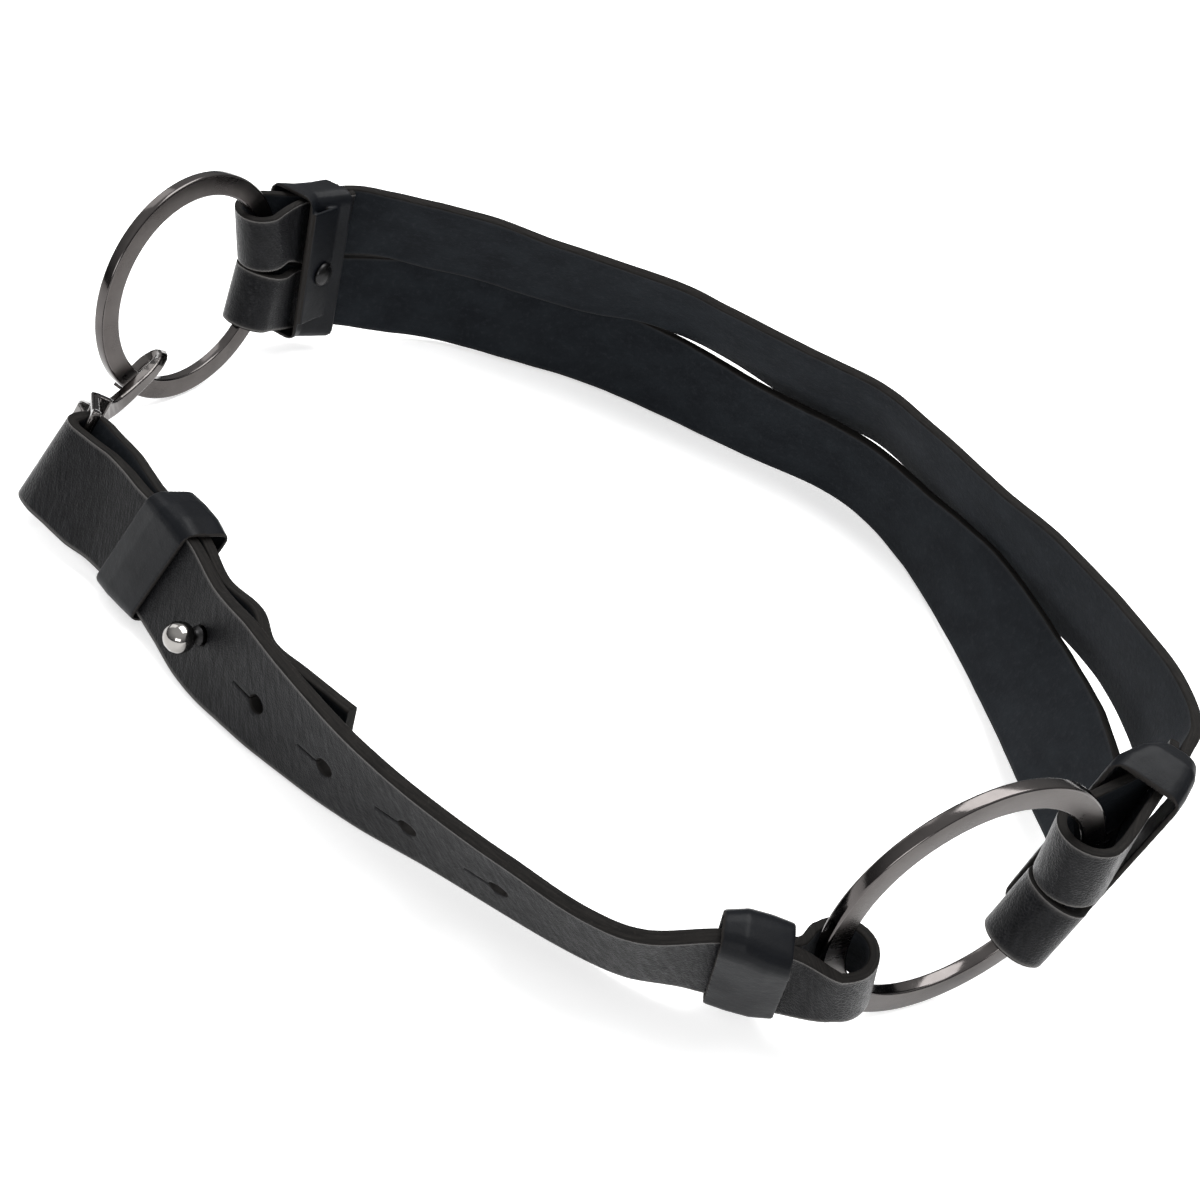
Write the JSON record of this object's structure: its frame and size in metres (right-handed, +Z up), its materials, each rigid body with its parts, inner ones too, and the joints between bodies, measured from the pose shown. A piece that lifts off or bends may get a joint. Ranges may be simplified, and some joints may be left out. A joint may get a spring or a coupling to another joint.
{
  "type": "ring belt",
  "caption": "Open leather belt loop with flat metal rings, stacked straps on one side and a holed strap with ball stud and hook on the other.",
  "frame": {"origin": "bottom centre of the belt's box", "axes": "+X from the left ring to the right ring, +Y from the holed strap to the stacked straps, +Z up"},
  "size_m": [0.3132, 0.2454, 0.0709],
  "materials": {
    "strap_leather": "matte suede inside, fine grain outside",
    "keeper_leather": "smooth semi-gloss",
    "gunmetal": "satin faces, polished walls",
    "nickel": "polished"
  },
  "bodies": {
    "root": {"ring_left": "gunmetal", "ring_right": "gunmetal", "strap_lower": "strap_leather", "strap_upper": "strap_leather", "strap_front": "strap_leather", "stud": "nickel", "keeper_hook": "keeper_leather", "keeper_front": "keeper_leather", "keeper_left": "keeper_leather", "keeper_left_rivet": "gunmetal", "keeper_right": "keeper_leather", "hook": "gunmetal"}
  },
  "joints": []
}
